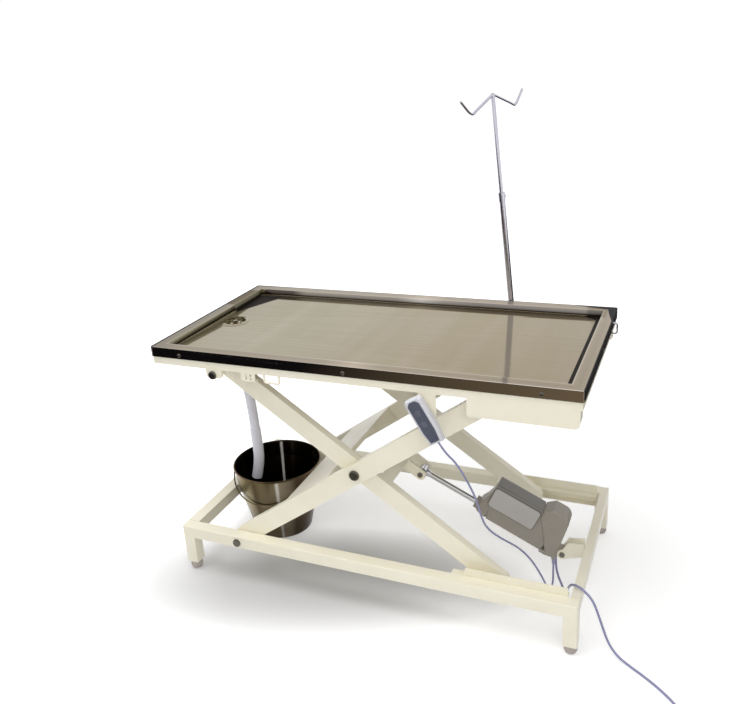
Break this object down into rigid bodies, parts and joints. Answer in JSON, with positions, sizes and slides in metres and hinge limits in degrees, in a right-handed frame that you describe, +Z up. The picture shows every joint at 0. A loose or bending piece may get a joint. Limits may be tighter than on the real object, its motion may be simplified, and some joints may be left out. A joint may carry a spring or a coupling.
{
  "type": "operating table",
  "caption": "Height-adjustable veterinary operating table: dished steel top with drain, electric scissor lift, infusion pole, hand control and waste bucket.",
  "frame": {"origin": "on the floor under the middle of the table top", "axes": "+X along the table away from the drain, +Y from the hand control side to the pole side, +Z up"},
  "size_m": [1.6915, 1.0662, 1.4705],
  "materials": {
    "frame_paint": "satin powder coat",
    "steel_sheet": "brushed",
    "bolt_steel": "dark plated",
    "rubber": "matt",
    "roller_nylon": "machined",
    "actuator_cover": "fine texture",
    "actuator_body": "fine texture",
    "rod_chrome": "ground",
    "pole_steel": "polished",
    "handset_shell": "fine texture",
    "keypad": "foil",
    "button": "matt",
    "cord": "matt",
    "hose": "ribbed",
    "bucket_steel": "polished",
    "plug": "moulded"
  },
  "bodies": {
    "base": {"base_rail_front": "frame_paint", "base_rail_back": "frame_paint", "base_cross_left": "frame_paint", "base_cross_right": "frame_paint", "rubber_feet": "rubber", "lower_track_front": "frame_paint", "lower_track_back": "frame_paint", "lower_pivot_bolts": "bolt_steel", "actuator_rear_bracket": "frame_paint", "actuator_rear_pin": "bolt_steel", "handset_cord": "cord", "mains_cord": "cord", "mains_cord_coil": "cord", "mains_plug": "plug"},
    "outer_arms": {"outer_arm_front": "frame_paint", "outer_arm_back": "frame_paint", "outer_arm_tie": "frame_paint", "centre_pivot_bolts": "bolt_steel"},
    "inner_arms": {"inner_arm_front": "frame_paint", "inner_arm_back": "frame_paint", "inner_cross_tube": "frame_paint", "actuator_front_bracket": "frame_paint", "actuator_front_pins": "bolt_steel"},
    "upper_roller_front": {"upper_roller_front": "roller_nylon"},
    "upper_roller_back": {"upper_roller_back": "roller_nylon"},
    "lower_roller_front": {"lower_roller_front": "roller_nylon"},
    "lower_roller_back": {"lower_roller_back": "roller_nylon"},
    "top": {"upper_rail_front": "frame_paint", "upper_rail_back": "frame_paint", "upper_cross_left": "frame_paint", "upper_cross_right": "frame_paint", "upper_track_front": "frame_paint", "upper_track_back": "frame_paint", "upper_pivot_bolts": "bolt_steel", "tray": "steel_sheet", "skirt_screws": "bolt_steel", "drain_body": "steel_sheet", "front_tie_loop": "frame_paint", "end_tie_loop": "pole_steel", "cable_clip": "frame_paint", "handset_hanger": "frame_paint", "pole_socket": "frame_paint", "drain_hose": "hose"},
    "strainer": {"drain_strainer": "steel_sheet"},
    "pole_lower": {"pole_tube": "pole_steel"},
    "pole_knob": {"pole_clamp_knob": "button"},
    "pole_upper": {"pole_rod": "pole_steel"},
    "handset": {"handset_shell": "handset_shell", "handset_keypad": "keypad"},
    "button_up": {"handset_button_up": "button"},
    "button_down": {"handset_button_down": "button"},
    "actuator": {"actuator_housing": "actuator_body", "actuator_cover": "actuator_cover", "actuator_rear_cap": "actuator_body", "actuator_outer_tube": "actuator_body", "handset_cord_gland": "plug", "mains_cord_gland": "plug"},
    "actuator_rod": {"actuator_rod": "rod_chrome"},
    "bucket": {"bucket": "bucket_steel"},
    "bail": {"bucket_bail": "bucket_steel"}
  },
  "joints": [
    {"name": "lift", "type": "hinge", "parent": "base", "child": "outer_arms", "pos_m": [-0.435, 0, 0.146], "axis": [0, -1, 0], "range_deg": [-18, 0], "deforming": ["drain_hose", "handset_cord", "mains_cord"]},
    {"name": "cross", "type": "hinge", "parent": "outer_arms", "child": "inner_arms", "pos_m": [-0.01314, 0, 0.44139], "axis": [0, -1, 0], "range_deg": [0, 36]},
    {"name": "level", "type": "hinge", "parent": "inner_arms", "child": "top", "pos_m": [-0.435, 0, 0.73678], "axis": [0, -1, 0], "range_deg": [-18, 0]},
    {"name": "actuator_pivot", "type": "hinge", "parent": "base", "child": "actuator", "pos_m": [0.557, -0.045, 0.142], "axis": [0, -1, 0], "range_deg": [0, 8.07]},
    {"name": "actuator_stroke", "type": "slide", "parent": "actuator", "child": "actuator_rod", "axis": [-0.9037, 0, 0.4281], "range_m": [-0.12288, 0]},
    {"name": "upper_roller_front_spin", "type": "hinge", "parent": "outer_arms", "child": "upper_roller_front", "pos_m": [0.40873, -0.2895, 0.73678], "axis": [0, 1, 0], "continuous": true},
    {"name": "upper_roller_back_spin", "type": "hinge", "parent": "outer_arms", "child": "upper_roller_back", "pos_m": [0.40873, 0.2895, 0.73678], "axis": [0, 1, 0], "continuous": true},
    {"name": "lower_roller_front_spin", "type": "hinge", "parent": "inner_arms", "child": "lower_roller_front", "pos_m": [0.40873, -0.2625, 0.146], "axis": [0, 1, 0], "continuous": true},
    {"name": "lower_roller_back_spin", "type": "hinge", "parent": "inner_arms", "child": "lower_roller_back", "pos_m": [0.40873, 0.2625, 0.146], "axis": [0, 1, 0], "continuous": true},
    {"name": "strainer_lift", "type": "slide", "parent": "top", "child": "strainer", "axis": [0, 0, 1], "range_m": [0, 0.04]},
    {"name": "pole_swivel", "type": "hinge", "parent": "top", "child": "pole_lower", "pos_m": [0.309, 0.3385, 0.80998], "axis": [-0.0781, 0, 0.9969], "continuous": true},
    {"name": "pole_height", "type": "slide", "parent": "pole_lower", "child": "pole_upper", "axis": [-0.0781, 0, 0.9969], "range_m": [-0.19, 0.1]},
    {"name": "pole_knob_turn", "type": "hinge", "parent": "pole_lower", "child": "pole_knob", "pos_m": [0.28236, 0.3385, 1.14994], "axis": [0, 1, 0], "range_deg": [0, 180]},
    {"name": "handset_unhook", "type": "slide", "parent": "top", "child": "handset", "axis": [0, 0, 1], "range_m": [0, 0.02]},
    {"name": "button_up_press", "type": "slide", "parent": "handset", "child": "button_up", "axis": [0, 1, 0], "range_m": [0, 0.0012], "stiffness_N_per_m": 600},
    {"name": "button_down_press", "type": "slide", "parent": "handset", "child": "button_down", "axis": [0, 1, 0], "range_m": [0, 0.0012], "stiffness_N_per_m": 600},
    {"name": "bucket_lift", "type": "slide", "parent": "base", "child": "bucket", "axis": [0, 0, 1], "range_m": [0, 0.17]},
    {"name": "bail_swing", "type": "hinge", "parent": "bucket", "child": "bail", "pos_m": [-0.463, 0.02, 0.242], "axis": [-1, 0, 0], "range_deg": [0, 100]}
  ],
  "couplings": [
    {"joint": "cross", "follows": "lift", "ratio": -2},
    {"joint": "level", "follows": "lift", "ratio": 1},
    {"joint": "actuator_pivot", "follows": "lift", "ratio": -0.44823},
    {"joint": "actuator_stroke", "follows": "lift", "m_per_rad": 0.39083}
  ]
}
